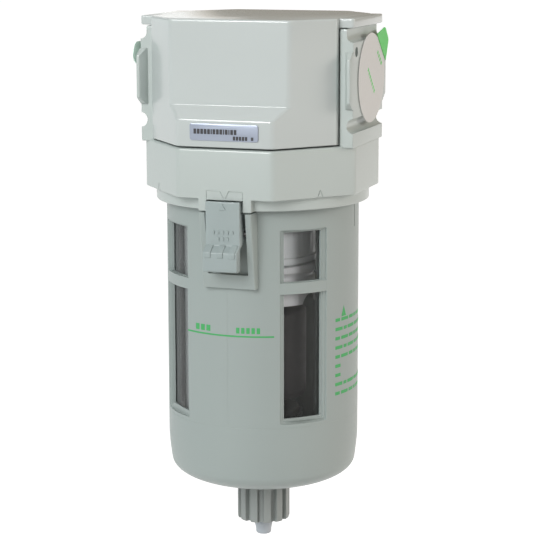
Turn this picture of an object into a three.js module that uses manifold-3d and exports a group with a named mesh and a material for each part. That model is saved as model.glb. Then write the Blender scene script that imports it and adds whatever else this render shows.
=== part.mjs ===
// Compressed air filter: a modular pneumatic filter with a press-and-turn bowl and a float drain.
// Millimetres, +Z up. X runs along the air line, from inlet (-X) to outlet (+X), and the front is -Y.
// The origin is where the air line's axis crosses the bowl's axis.

import * as THREE from 'three';
import { mergeVertices } from 'three/addons/utils/BufferGeometryUtils.js';
import Module from 'manifold-3d';

const wasm = await Module();
wasm.setup();

// ---------------------------------------------------------------- driving dimensions

const GAP = 0.3; // between pieces that rest on each other
const FACE_X = 40; // half of the face-to-face length
const FLANGE_INNER_X = 35;
const FLANGE_HALF_DEPTH = 19.1;
const FLANGE_TOP = 17.6;
const FLANGE_BOTTOM = -24;

const SIDE_X = 39.9; // the skirt's side flats
const FRONT_Y = 41.1; // the skirt's front and back flats
const SIDE_HALF_LENGTH = 15.5;
const FRONT_HALF_WIDTH = 17.6;
const SKIRT_TOP = -23.7;
const SKIRT_BOTTOM = -40.8;
const RING_BOTTOM = -45.1;
const RING_RADIUS = 39;

const COVER_TOP = 21.2;
const COVER_BOTTOM = -22.7;
const COVER_HALF_LENGTH = 34.6;
const COVER_WALL = 2;
const UPPER_FRONT_Y = 36.2; // the hood above its sloped shelf
const SHELF_TOP = -8.6;
const SHELF_BOTTOM = -13.2;

const PORT_RADIUS = 9.4; // minor radius of the half-inch pipe thread
const PORT_DEPTH = 18;
const PASSAGE_RADIUS = 7.5;
const CHAMBER_RADIUS = 31;
const BAYONET_BORE = 37.6;
const BAYONET_BORE_TOP = -33.5;
const SEAL_BORE = 33.6;
const SEAL_BORE_TOP = -26;

const GUARD_RADIUS = 35.3;
const GUARD_WALL = 2;
const GUARD_TOP = -33.8;
const BODY_TAPER_START = -135;
const DOME_EDGE = -143;
const DOME_EDGE_INSET = 1;
const DOME_BOTTOM = -152;
const DOME_HOLE_RADIUS = 10.6;
const BOWL_WALL = 3.4;
const BOWL_TOP = -26.6;
const O_RING_Z = -30;
const O_RING_SECTION = 1.3;

const WINDOW_INNER_ANGLE = 32.3; // degrees from the lever, to the near and far edges of a window
const WINDOW_OUTER_ANGLE = 57;
const WINDOW_TOP = -53.3;
const CROSSBAR_TOP = -71.2;
const CROSSBAR_BOTTOM = -75.6;
const WINDOW_BOTTOM = -121;

const LEVER_HALF_WIDTH = 6.3;
const LEVER_PIN_Y = -37.9;
const LEVER_PIN_Z = -53;
const LEVER_PIN_RADIUS = 1;
const LEVER_SWEEP_RADIUS = 42.6; // keeps the lever's tip outside the ears as the bowl turns
const NOTCH_HALF_WIDTH = 6.75;
const EAR_OUTER_X = 9.85;
const LEVER_SPRING_Z = -62;

const ELEMENT_RADIUS = 20;
const ELEMENT_BORE = 13;
const ELEMENT_TOP = -35.4;
const ELEMENT_BOTTOM = -68.2;
const BAFFLE_BOTTOM = -83;
const SKIRT_OUTSIDE = 20.9;
const SHAFT_RADIUS = 2.6;

const FLOAT_RADIUS = 16;
const FLOAT_BORE = 8.6;
const FLOAT_TOP = -86.5;
const FLOAT_BOTTOM = -119;
const HOUSING_TUBE_RADIUS = 7.8;
const HOUSING_TOP = -97;
const HOUSING_BASE_TOP = -124;
const HOUSING_BASE_BOTTOM = -145.6;
const HOUSING_NECK_RADIUS = 6.4;
const PISTON_BORE = 5;
const ARM_PIN_X = -4.6;
const ARM_PIN_Z = -94.2;
const ARM_TIP_X = 10.5;

const KNOB_RADIUS = 9.8;
const KNOB_TOP = -152.6;
const KNOB_BOTTOM = -167.6;
const KNOB_FLUTES = 12;
const KNOB_FLUTE_ANGLE = 12;
const NOZZLE_BOTTOM = -174.2;

const ROUND = 44; // segments of a large circle
const SMALL_ROUND = 16; // segments of a small circle
const REACH = 120; // longer than any cut

// ---------------------------------------------------------------- solids from geometries

const RIGHT_ANGLE = Math.PI / 2;
const radians = THREE.MathUtils.degToRad;

// A closed geometry as a solid, with doubled points merged and its faces pointing out.
function solid(geometry) {
  geometry.deleteAttribute('normal');
  geometry.deleteAttribute('uv');
  const merged = mergeVertices(geometry, 1e-4);
  const points = merged.attributes.position.array;
  const index = merged.index.array;
  const corner = (i) => new THREE.Vector3().fromArray(points, 3 * i);
  const triangles = [];
  let volume = 0;
  for (let i = 0; i < index.length; i += 3) {
    const [a, b, c] = index.slice(i, i + 3);
    if (a === b || b === c || c === a) continue;
    triangles.push(a, b, c);
    volume += corner(a).dot(corner(b).cross(corner(c)));
  }
  if (volume < 0) triangles.reverse();
  return new wasm.Manifold(new wasm.Mesh({
    numProp: 3,
    vertProperties: new Float32Array(points),
    triVerts: new Uint32Array(triangles),
  }));
}

function geometryOf(shape) {
  const mesh = shape.getMesh();
  const geometry = new THREE.BufferGeometry();
  const positions = new THREE.BufferAttribute(new Float32Array(mesh.vertProperties), 3);
  geometry.setAttribute('position', positions);
  geometry.setIndex(new THREE.BufferAttribute(new Uint32Array(mesh.triVerts), 1));
  geometry.computeVertexNormals();
  return geometry;
}

const join = (first, ...others) => others.reduce((whole, piece) => whole.add(piece), first);
const cut = (first, ...others) => others.reduce((whole, piece) => whole.subtract(piece), first);

function box(x0, x1, y0, y1, z0, z1) {
  const geometry = new THREE.BoxGeometry(x1 - x0, y1 - y0, z1 - z0);
  geometry.translate((x0 + x1) / 2, (y0 + y1) / 2, (z0 + z1) / 2);
  return solid(geometry);
}

// A closed profile of [radius, z] points, turned about the Z axis.
function turned(profile, segments = ROUND) {
  const points = profile.map(([radius, z]) => new THREE.Vector2(radius, z));
  points.push(points[0].clone());
  const geometry = new THREE.LatheGeometry(points, segments);
  geometry.rotateX(RIGHT_ANGLE);
  return solid(geometry);
}

const disc = (radius, z0, z1, segments = ROUND) => turned([[0, z0], [radius, z0], [radius, z1], [0, z1]], segments);

const tube = (outer, inner, z0, z1, segments = ROUND) => turned(
  [[inner, z0], [outer, z0], [outer, z1], [inner, z1]],
  segments,
);

function torus(radius, section, z, segments = 24) {
  const geometry = new THREE.TorusGeometry(radius, section, 8, segments);
  geometry.translate(0, 0, z);
  return solid(geometry);
}

function outline(points) {
  return new THREE.Shape(points.map(([x, y]) => new THREE.Vector2(x, y)));
}

// A flat outline in X and Y, standing from z0 to z1.
function prism(shape, z0, z1, curveSegments = 12) {
  const settings = { depth: z1 - z0, bevelEnabled: false, curveSegments };
  const geometry = new THREE.ExtrudeGeometry(shape, settings);
  geometry.translate(0, 0, z0);
  return solid(geometry);
}

// An outline in Y and Z, running along X.
function alongX(shape, x0, x1, curveSegments = 12) {
  const settings = { depth: x1 - x0, bevelEnabled: false, curveSegments };
  const geometry = new THREE.ExtrudeGeometry(shape, settings);
  geometry.rotateX(RIGHT_ANGLE);
  geometry.rotateZ(RIGHT_ANGLE);
  geometry.translate(x0, 0, 0);
  return solid(geometry);
}

// A round bar along X, centred on (y, z).
function barX(radius, x0, x1, y, z, segments = SMALL_ROUND) {
  const geometry = new THREE.CylinderGeometry(radius, radius, x1 - x0, segments);
  geometry.rotateZ(RIGHT_ANGLE);
  geometry.translate((x0 + x1) / 2, y, z);
  return solid(geometry);
}

// A round bar along Y, centred on (x, z).
function barY(radius, y0, y1, x, z, segments = SMALL_ROUND) {
  const geometry = new THREE.CylinderGeometry(radius, radius, y1 - y0, segments);
  geometry.translate(x, (y0 + y1) / 2, z);
  return solid(geometry);
}

// A sector about the Z axis, between two angles from -Y (positive towards +X), in degrees.
function sector(inner, outer, from, to, z0, z1) {
  const shape = new THREE.Shape();
  const start = radians(from - 90);
  const end = radians(to - 90);
  shape.absarc(0, 0, outer, start, end, false);
  shape.absarc(0, 0, inner, end, start, true);
  return prism(shape, z0, z1, 8);
}

// A helical wire about the Z axis, from z0 to z1.
function coil(radius, wire, z0, z1, turns) {
  class Helix extends THREE.Curve {
    getPoint(t, target = new THREE.Vector3()) {
      const angle = 2 * Math.PI * turns * t;
      return target.set(radius * Math.cos(angle), radius * Math.sin(angle), z0 + (z1 - z0) * t);
    }
  }
  const section = new THREE.Shape();
  section.absarc(0, 0, wire, 0, 2 * Math.PI, false);
  const steps = Math.round(turns * 10);
  const settings = { steps, bevelEnabled: false, extrudePath: new Helix(), curveSegments: 3 };
  return solid(new THREE.ExtrudeGeometry(section, settings));
}

// ---------------------------------------------------------------- shared outlines

// The octagon that the hood and the skirt share; halfLength trims its ends.
function octagon(inset, halfLength = SIDE_X - inset, halfDepth = FRONT_Y - inset) {
  const run = SIDE_X - FRONT_HALF_WIDTH;
  const rise = FRONT_Y - SIDE_HALF_LENGTH;
  const slant = Math.hypot(run, rise);
  const reach = (FRONT_HALF_WIDTH * rise + FRONT_Y * run) / slant - inset;
  const depthAt = (x) => (reach * slant - x * rise) / run;
  const widthAt = (y) => (reach * slant - y * run) / rise;
  const sideY = depthAt(halfLength);
  const frontX = widthAt(halfDepth);
  return outline([
    [halfLength, -sideY], [halfLength, sideY], [frontX, halfDepth], [-frontX, halfDepth],
    [-halfLength, sideY], [-halfLength, -sideY], [-frontX, -halfDepth], [frontX, -halfDepth],
  ]);
}

// The hood's section across the air line, inset by the wall for its inside.
function hoodSection(inset, top, bottom) {
  const half = [
    [UPPER_FRONT_Y - inset - 0.5, top],
    [UPPER_FRONT_Y - inset, SHELF_TOP - inset],
    [FRONT_Y - inset, SHELF_BOTTOM - inset],
    [FRONT_Y - inset, bottom],
  ];
  const mirrored = half.map(([y, z]) => [-y, z]).reverse();
  return outline([...half, ...mirrored]);
}

// A lathe profile of the guard's and the bowl's outer form, set in from the guard's outside.
function bowlForm(inset, top, holeRadius) {
  const edge = new THREE.Vector2(GUARD_RADIUS - DOME_EDGE_INSET - inset, DOME_EDGE + 0.35 * inset);
  const corner = new THREE.Vector2(edge.x - 0.9, edge.y - 7 + 0.2 * inset);
  const floor = new THREE.Vector2(holeRadius, DOME_BOTTOM + inset);
  const dome = new THREE.QuadraticBezierCurve(edge, corner, floor).getPoints(6);
  return [
    [GUARD_RADIUS - inset, top],
    [GUARD_RADIUS - inset, BODY_TAPER_START],
    ...dome.map((point) => [point.x, point.y]),
  ];
}

// A shell between two forms, open at the top and round the hole in the floor.
function bowlShell(outerInset, innerInset, top, holeRadius) {
  const outer = bowlForm(outerInset, top, holeRadius);
  const inner = bowlForm(innerInset, top, holeRadius);
  return turned([...outer, ...inner.reverse()]);
}

// ---------------------------------------------------------------- the head

function bodyCasting() {
  const outside = join(
    box(-FLANGE_INNER_X, FLANGE_INNER_X, -15.5, 15.5, SKIRT_TOP - 1, FLANGE_TOP),
    disc(CHAMBER_RADIUS, SKIRT_TOP - 1, -6),
    prism(octagon(0), SKIRT_BOTTOM, SKIRT_TOP),
    disc(RING_RADIUS, RING_BOTTOM, SKIRT_BOTTOM + 1),
    ears(),
    flange(1),
    flange(-1),
  );
  return cut(
    outside,
    disc(BAYONET_BORE, RING_BOTTOM - 1, BAYONET_BORE_TOP),
    disc(SEAL_BORE, RING_BOTTOM - 1, SEAL_BORE_TOP),
    airPassages(),
    box(-NOTCH_HALF_WIDTH, NOTCH_HALF_WIDTH, -FRONT_Y - 1, -RING_RADIUS + 4, RING_BOTTOM - 1, SKIRT_BOTTOM - 0.2),
    faceCuts(1),
    faceCuts(-1),
  );
}

function ears() {
  const block = box(-EAR_OUTER_X, EAR_OUTER_X, -FRONT_Y, -RING_RADIUS + 1.4, RING_BOTTOM, SKIRT_BOTTOM + 1);
  return block.intersect(prism(octagon(0), RING_BOTTOM - 1, SKIRT_TOP));
}

// A port flange with its two bevelled coupling lugs; side is 1 at the outlet and -1 at the inlet.
function flange(side) {
  const lugBase = 37.1;
  const lugTip = 38.8;
  const lugY = 23.3;
  const lugTop = 9.7;
  const lugBottom = -10.5;
  const bevel = 2.5;
  const plate = side > 0
    ? box(FLANGE_INNER_X, FACE_X, -FLANGE_HALF_DEPTH, FLANGE_HALF_DEPTH, FLANGE_BOTTOM, FLANGE_TOP)
    : box(-FACE_X, -FLANGE_INNER_X, -FLANGE_HALF_DEPTH, FLANGE_HALF_DEPTH, FLANGE_BOTTOM, FLANGE_TOP);
  const wedge = outline([
    [side * lugBase, -FLANGE_HALF_DEPTH + 1], [side * lugBase, -FLANGE_HALF_DEPTH],
    [side * lugTip, -lugY], [side * FACE_X, -lugY], [side * FACE_X, -FLANGE_HALF_DEPTH + 1],
  ]);
  const front = prism(wedge, lugBottom, lugTop).intersect(alongX(outline([
    [-FLANGE_HALF_DEPTH + 1, lugTop], [-lugY, lugTop - bevel],
    [-lugY, lugBottom + bevel], [-FLANGE_HALF_DEPTH + 1, lugBottom],
  ]), -REACH, REACH));
  return join(plate, front, front.mirror([0, 1, 0]));
}

// Thread bores, the inlet's drop into the swirl chamber, and the outlet's rise from the element.
function airPassages() {
  const mouth = (side) => {
    const chamfer = new THREE.CylinderGeometry(PORT_RADIUS + 1.3, PORT_RADIUS, 1.3, ROUND);
    chamfer.rotateZ(-side * RIGHT_ANGLE);
    chamfer.translate(side * (FACE_X - 0.65), 0, 0);
    const bore = side > 0
      ? barX(PORT_RADIUS, FACE_X - PORT_DEPTH, FACE_X + 1, 0, 0, ROUND)
      : barX(PORT_RADIUS, -FACE_X - 1, -FACE_X + PORT_DEPTH, 0, 0, ROUND);
    return join(bore, solid(chamfer));
  };
  return join(
    mouth(1),
    mouth(-1),
    barX(PASSAGE_RADIUS, 0, FACE_X - PORT_DEPTH + 1, 0, 0, 32),
    disc(PASSAGE_RADIUS, SEAL_BORE_TOP - 1, 0, 32),
    barX(PASSAGE_RADIUS, -FACE_X + PORT_DEPTH - 1, -15, 0, 0, 32),
    solid(new THREE.CylinderGeometry(6, 6, 18, 32).rotateX(RIGHT_ANGLE).translate(-21, 0, -9)),
    tube(28, 12, SEAL_BORE_TOP - 1, -11),
  );
}

// The joiner's grooves and locating holes in a port face.
function faceCuts(side) {
  const groove = (z0, z1) => (side > 0
    ? box(FACE_X - 2.5, FACE_X + 1, -REACH, REACH, z0, z1)
    : box(-FACE_X - 1, -FACE_X + 2.5, -REACH, REACH, z0, z1));
  const hole = (y, z) => (side > 0
    ? barX(1.8, FACE_X - 4, FACE_X + 1, y, z, 16)
    : barX(1.8, -FACE_X - 1, -FACE_X + 4, y, z, 16));
  const halfRound = barY(2.65, -REACH, REACH, side * FACE_X, -16.2);
  return join(groove(12.9, FLANGE_TOP + 1), halfRound, hole(-15.4, 9.5), hole(15.4, 9.5));
}

function topCover() {
  const shell = (inset, top, bottom, halfLength, reach) => prism(
    octagon(inset, halfLength, FRONT_Y - inset),
    bottom,
    top,
  ).intersect(alongX(hoodSection(inset, top, bottom), -reach, reach));
  const outside = shell(0, COVER_TOP, COVER_BOTTOM, COVER_HALF_LENGTH, REACH);
  const inside = shell(COVER_WALL, FLANGE_TOP + GAP, COVER_BOTTOM - 1, COVER_HALF_LENGTH + 1, REACH);
  const lugs = box(-FACE_X, FACE_X, -18.6, 18.6, FLANGE_TOP + GAP, COVER_TOP);
  return join(cut(outside, inside), lugs);
}

function namePlate() {
  return box(-12.6, 12.6, -FRONT_Y - GAP - 0.6, -FRONT_Y - GAP, -20.3, -14.4);
}

// A peel-off seal: a thin disc over the port and a round-ended pull tab.
function portSticker(side) {
  const radius = 16;
  const tabWidth = 6.4;
  const tabEnd = 17.4;
  const thickness = 0.5;
  const inner = FACE_X + GAP;
  const centre = { y: 2.2, z: -0.8 };
  const sheet = barX(radius, inner, inner + thickness, centre.y, centre.z, 32);
  const tab = join(
    box(inner, inner + thickness, 0, tabEnd, -tabWidth, tabWidth),
    barX(tabWidth, inner, inner + thickness, tabEnd, 0, SMALL_ROUND),
  ).rotate([39.4, 0, 0]).translate([0, centre.y, centre.z]);
  const whole = join(sheet, tab);
  return side > 0 ? whole : whole.mirror([1, 0, 0]).mirror([0, 1, 0]);
}

// ---------------------------------------------------------------- the element and what holds it

// The swirl ring: slanted vanes between a hub and a rim, with a threaded eye on spokes in the middle.
function louver() {
  const top = SEAL_BORE_TOP - GAP;
  const bottom = -34.2;
  const hub = tube(20, 9.5, bottom, top, 36);
  const rim = tube(27.5, 25.5, bottom, top, 36);
  const eye = tube(4.6, SHAFT_RADIUS + GAP, bottom, top, SMALL_ROUND);
  const spokes = [0, 120, 240].map((angle) => box(4, 10, -1, 1, bottom, top).rotate([0, 0, angle]));
  const vanes = [];
  for (let angle = 0; angle < 360; angle += 30) {
    const tilted = box(19.5, 26, -0.7, 0.7, -6, 6).rotate([35, 0, 0]);
    const vane = tilted.translate([0, 0, (bottom + top) / 2]).rotate([0, 0, angle]);
    vanes.push(vane.intersect(disc(27, bottom, top, 36)));
  }
  return join(hub, rim, eye, ...spokes, ...vanes);
}

const elementGasket = () => tube(18, ELEMENT_BORE, ELEMENT_TOP + GAP, -34.5, 32);

const filterElement = () => tube(ELEMENT_RADIUS, ELEMENT_BORE, ELEMENT_BOTTOM, ELEMENT_TOP, 36);

// The baffle: a disc that clamps the element, its long threaded shaft, and a skirt with two notches.
function baffle() {
  const top = ELEMENT_BOTTOM - GAP;
  const skirt = turned([
    [0, top], [21, top], [21, top - 2.4], [18, -73], [SKIRT_OUTSIDE, -75.6],
    [SKIRT_OUTSIDE, BAFFLE_BOTTOM], [SKIRT_OUTSIDE - 1.5, BAFFLE_BOTTOM],
    [SKIRT_OUTSIDE - 1.5, -75.9], [16.4, -73.2], [17.6, top - 3], [0, top - 3],
  ], 36);
  const shaft = disc(SHAFT_RADIUS, top - 1, -27, SMALL_ROUND);
  const seat = disc(ELEMENT_BORE - 1, top - 1, top + 3, 24);
  const notches = [77, -103].map((angle) => (
    barY(5.4, -25, 0, 0, BAFFLE_BOTTOM - 1.4).rotate([0, 0, angle])
  ));
  return cut(join(skirt, seat, shaft), ...notches);
}

// ---------------------------------------------------------------- the bowl and its guard

function bowl() {
  const outerInset = GUARD_WALL + 0.6;
  const wall = bowlShell(outerInset, outerInset + BOWL_WALL, BOWL_TOP, 8.3);
  const groove = tube(REACH, 30.4, O_RING_Z - 1.7, O_RING_Z + 1.7);
  return cut(wall, groove);
}

const bowlORing = () => torus(32, O_RING_SECTION, O_RING_Z, ROUND);

function bowlGuard() {
  const shell = bowlShell(0, GUARD_WALL, GUARD_TOP, DOME_HOLE_RADIUS);
  const lugs = [45, 135, 225, 315].map((angle) => (
    sector(GUARD_RADIUS - 1, BAYONET_BORE - 0.4, angle - 9, angle + 9, -38.6, -35.4)
  ));
  const windows = [];
  for (const turn of [0, 180]) {
    for (const side of [1, -1]) {
      const near = turn + side * WINDOW_INNER_ANGLE;
      const far = turn + side * WINDOW_OUTER_ANGLE;
      const from = Math.min(near, far);
      const to = Math.max(near, far);
      windows.push(sector(GUARD_RADIUS - 6, GUARD_RADIUS + 2, from, to, CROSSBAR_TOP, WINDOW_TOP));
      windows.push(sector(GUARD_RADIUS - 6, GUARD_RADIUS + 2, from, to, WINDOW_BOTTOM, CROSSBAR_BOTTOM));
    }
  }
  return cut(join(cut(shell, ...windows), ...lugs, leverFrame()), leverPocket());
}

// The slanted block that stands out of the guard round the lever.
function leverFrame() {
  const side = outline([
    [-GUARD_RADIUS + 2, RING_BOTTOM - 0.5], [-FRONT_Y, RING_BOTTOM - 0.5],
    [-37, -72.9], [-GUARD_RADIUS + 2, -73.6],
  ]);
  const block = alongX(side, -9.5, 9.5);
  return cut(block, disc(GUARD_RADIUS - 1, -80, -40));
}

// The lever's pocket and the holes for its pin.
function leverPocket() {
  const pocket = box(-7.5, 7.5, -FRONT_Y - 1, -GUARD_RADIUS - 0.15, -67.9, RING_BOTTOM + 1);
  return join(pocket, barX(LEVER_PIN_RADIUS + 0.2, -REACH, REACH, LEVER_PIN_Y, LEVER_PIN_Z, 16));
}

function lockLever() {
  const side = new THREE.Shape();
  side.moveTo(-43.4, -41.3);
  side.lineTo(-43.2, -56.7);
  side.lineTo(-46.5, -58.8);
  side.lineTo(-46.5, -65.6);
  side.lineTo(-44.6, -65.6);
  side.lineTo(-43.4, -58.5);
  side.lineTo(LEVER_PIN_Y - 1.2, -55.6);
  side.absarc(LEVER_PIN_Y, LEVER_PIN_Z, 2.1, radians(-130), radians(130), false);
  side.lineTo(-40.4, RING_BOTTOM - 0.6);
  side.lineTo(-41.5, RING_BOTTOM - 0.6);
  side.lineTo(-41.5, -41.3);
  const lever = alongX(side, -LEVER_HALF_WIDTH, LEVER_HALF_WIDTH, 8);
  return cut(
    lever,
    disc(LEVER_SWEEP_RADIUS, RING_BOTTOM - 0.6, SKIRT_BOTTOM + 1, 120),
    barX(LEVER_PIN_RADIUS + 0.2, -REACH, REACH, LEVER_PIN_Y, LEVER_PIN_Z, 16),
  );
}

const leverPin = () => barX(LEVER_PIN_RADIUS, -9.3, 9.3, LEVER_PIN_Y, LEVER_PIN_Z, 16);

function leverSpring() {
  const spring = coil(2.2, 0.35, 0, 6.6, 4);
  return spring.rotate([90, 0, 0]).translate([0, -GUARD_RADIUS - 0.8, LEVER_SPRING_Z]);
}

// ---------------------------------------------------------------- the automatic drain

function drainHousing() {
  const outside = turned([
    [0, HOUSING_TOP], [HOUSING_TUBE_RADIUS, HOUSING_TOP], [HOUSING_TUBE_RADIUS, HOUSING_BASE_TOP],
    [13.4, HOUSING_BASE_TOP], [13.4, HOUSING_BASE_BOTTOM], [7.9, HOUSING_BASE_BOTTOM],
    [7.9, DOME_BOTTOM - 0.1], [HOUSING_NECK_RADIUS, DOME_BOTTOM - 0.1], [HOUSING_NECK_RADIUS, -158.2],
    [5.4, -158.2], [5.4, -160.2], [HOUSING_NECK_RADIUS, -160.2], [HOUSING_NECK_RADIUS, -163],
    [0, -163],
  ], 32);
  const ears = join(
    box(ARM_PIN_X - 1.4, ARM_PIN_X + 1.4, -3.4, -1.6, HOUSING_TOP - 1, ARM_PIN_Z + 1.4),
    box(ARM_PIN_X - 1.4, ARM_PIN_X + 1.4, 1.6, 3.4, HOUSING_TOP - 1, ARM_PIN_Z + 1.4),
  );
  const inlets = [0, 60, 120].map((angle) => (
    barX(2.4, -REACH, REACH, 0, -134, 8).rotate([0, 0, angle])
  ));
  return cut(
    join(outside, ears),
    disc(PISTON_BORE, -141, -102, 24),
    disc(1.7, -170, -100, 12),
    disc(1.9, HOUSING_TOP - 6, HOUSING_TOP + 1, 12),
    disc(3.4, -170, -150, 16),
    barY(0.7, -6, 6, ARM_PIN_X, ARM_PIN_Z, 8),
    tube(11.7, 9.5, HOUSING_BASE_BOTTOM - 1, HOUSING_BASE_BOTTOM + 1.8, 32),
    ...inlets,
  );
}

const housingORing = () => torus(10.6, 0.8, HOUSING_BASE_BOTTOM + 0.7, 32);

// The ring nut that clamps the housing against the bowl's floor, with four spanner slots.
function drainRetainingNut() {
  const nut = tube(10.2, 8.2, -152.2, DOME_BOTTOM + 2.3, 32);
  const slots = [0, 90].map((angle) => box(-REACH, REACH, -1.2, 1.2, -153, -151.4).rotate([0, 0, angle]));
  return cut(nut, ...slots);
}

// The perforated screen that keeps grit out of the drain.
function drainStrainer() {
  const holes = [];
  for (const z of [-130.5, -137.5]) {
    for (let angle = 0; angle < 180; angle += 45) {
      holes.push(barX(1.6, -REACH, REACH, 0, z, 6).rotate([0, 0, angle]));
    }
  }
  return cut(tube(14.9, 13.9, -143, -126, 32), ...holes);
}

// The float: an inverted cup round the housing's tube, with a slot for the lever's tip.
function floatCup() {
  const cup = turned([
    [0, FLOAT_TOP], [FLOAT_RADIUS - 1, FLOAT_TOP], [FLOAT_RADIUS, FLOAT_TOP - 1],
    [FLOAT_RADIUS, FLOAT_BOTTOM], [FLOAT_BORE, FLOAT_BOTTOM], [FLOAT_BORE, FLOAT_TOP - 2.6],
    [0, FLOAT_TOP - 2.6],
  ], 36);
  return cut(cup, box(8, ARM_TIP_X + 1, -1.8, 1.8, ARM_PIN_Z - 1.5, ARM_PIN_Z + 1.3));
}

// The arm that the float lifts: its pad closes the pilot seat at rest.
function floatLever() {
  const arm = join(
    box(ARM_PIN_X, ARM_TIP_X, -1.3, 1.3, ARM_PIN_Z - 0.6, ARM_PIN_Z + 0.6),
    barY(1.3, -1.3, 1.3, ARM_PIN_X, ARM_PIN_Z, 16),
    disc(1.5, ARM_PIN_Z - 1.2, ARM_PIN_Z, 16),
  );
  return cut(arm, barY(0.7, -6, 6, ARM_PIN_X, ARM_PIN_Z, 12));
}

const floatLeverPin = () => barY(0.5, -3.8, 3.8, ARM_PIN_X, ARM_PIN_Z, 12);

const pilotValveSeat = () => turned([
  [0.5, HOUSING_TOP - 5], [1.6, HOUSING_TOP - 5], [1.6, HOUSING_TOP + GAP],
  [2.6, HOUSING_TOP + GAP], [1, ARM_PIN_Z - 1.6], [0.5, ARM_PIN_Z - 1.6],
], 16);

function drainPiston() {
  return turned([
    [0, -108], [4.6, -108], [4.6, -110.4], [3.4, -110.4], [3.4, -113], [4.6, -113],
    [4.6, -115.4], [1.4, -115.4], [1.4, -152], [0, -152],
  ], 20);
}

const pistonSeal = () => torus(4.2, 0.55, -111.7);

const pistonSpring = () => coil(3.2, 0.4, -139.9, -118, 7);

// ---------------------------------------------------------------- knob and nozzle

function drainKnob() {
  const outside = turned([
    [7, KNOB_TOP], [KNOB_RADIUS, KNOB_TOP], [KNOB_RADIUS, KNOB_BOTTOM + 0.5],
    [KNOB_RADIUS - 0.5, KNOB_BOTTOM], [3.7, KNOB_BOTTOM], [3.7, -163.6], [7, -163.6],
  ], 36);
  const flutes = [];
  for (let i = 0; i < KNOB_FLUTES; i += 1) {
    const flute = solid(new THREE.CylinderGeometry(1.1, 1.1, 20, 8).rotateX(RIGHT_ANGLE));
    const angle = KNOB_FLUTE_ANGLE + (i * 360) / KNOB_FLUTES;
    flutes.push(flute.translate([KNOB_RADIUS + 0.2, 0, -164]).rotate([0, 0, angle]));
  }
  return cut(outside, ...flutes);
}

const knobORing = () => torus(6.15, 0.5, -159.2);

function drainNozzle() {
  return turned([
    [1.4, -153.6], [3.1, -153.6], [3.1, -169], [2.65, NOZZLE_BOTTOM + 0.6],
    [2.3, NOZZLE_BOTTOM], [1.4, NOZZLE_BOTTOM],
  ], SMALL_ROUND);
}

// ---------------------------------------------------------------- materials and the assembly

function material(color, roughness, metalness = 0, opacity = 1) {
  return new THREE.MeshStandardMaterial({ color, roughness, metalness, opacity, transparent: opacity < 1 });
}

const headPaint = material(0xcdd2d0, 0.45);
const hoodPlastic = material(0xc6cac7, 0.5);
const guardPlastic = material(0xaab4b1, 0.5);
const leverPlastic = material(0xa5b1b0, 0.5);
const plateFoil = material(0x969eaf, 0.35, 0.4);
const stickerPaper = material(0xd7d5d2, 0.7);
const whiteNylon = material(0xe4e6e4, 0.5);
const elementFibre = material(0xcfd3d3, 0.9);
const clearBowl = material(0x9aa2a2, 0.08, 0, 0.35);
const darkFoam = material(0x4c4a4a, 0.7);
const blackRubber = material(0x202020, 0.8);
const greyNylon = material(0x8d9391, 0.5);
const knobPlastic = material(0x969b96, 0.5);
const nozzlePlastic = material(0xb4b9be, 0.35);
const brass = material(0xb08a4a, 0.35, 0.9);
const steel = material(0xb9bcc0, 0.3, 1);
const copperWire = material(0xa0643c, 0.35, 1);

function node(name, shape, look) {
  const mesh = new THREE.Mesh(geometryOf(shape), look);
  mesh.name = name;
  return mesh;
}

function group(...meshes) {
  const whole = new THREE.Group();
  whole.add(...meshes);
  return whole;
}

const head = group(
  node('body_casting', bodyCasting(), headPaint),
  node('top_cover', topCover(), hoodPlastic),
  node('name_plate', namePlate(), plateFoil),
  node('outlet_port_sticker', portSticker(1), stickerPaper),
  node('inlet_port_sticker', portSticker(-1), stickerPaper),
);

const filtering = group(
  node('louver', louver(), whiteNylon),
  node('element_gasket', elementGasket(), blackRubber),
  node('filter_element', filterElement(), elementFibre),
  node('baffle', baffle(), whiteNylon),
);

const bowlGroup = group(
  node('bowl_o_ring', bowlORing(), blackRubber),
  node('bowl', bowl(), clearBowl),
  node('bowl_guard', bowlGuard(), guardPlastic),
  node('lock_lever', lockLever(), leverPlastic),
  node('lever_pin', leverPin(), steel),
  node('lever_spring', leverSpring(), copperWire),
);

const drain = group(
  node('drain_housing', drainHousing(), greyNylon),
  node('housing_o_ring', housingORing(), blackRubber),
  node('drain_retaining_nut', drainRetainingNut(), greyNylon),
  node('drain_strainer', drainStrainer(), steel),
  node('float', floatCup(), darkFoam),
  node('float_lever', floatLever(), whiteNylon),
  node('float_lever_pin', floatLeverPin(), steel),
  node('pilot_valve_seat', pilotValveSeat(), brass),
  node('drain_piston', drainPiston(), brass),
  node('piston_seal', pistonSeal(), blackRubber),
  node('piston_spring', pistonSpring(), steel),
  node('drain_knob', drainKnob(), knobPlastic),
  node('knob_o_ring', knobORing(), blackRubber),
  node('drain_nozzle', drainNozzle(), nozzlePlastic),
);

export default group(head, filtering, bowlGroup, drain);
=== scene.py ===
"""Looks of a modular compressed air filter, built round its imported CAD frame.

Lengths below are in millimetres, in the frame's axes: +X to the outlet, -Y to the front, +Z up.
"""

import math

import bmesh
import bpy
from mathutils import Matrix, Vector


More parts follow.
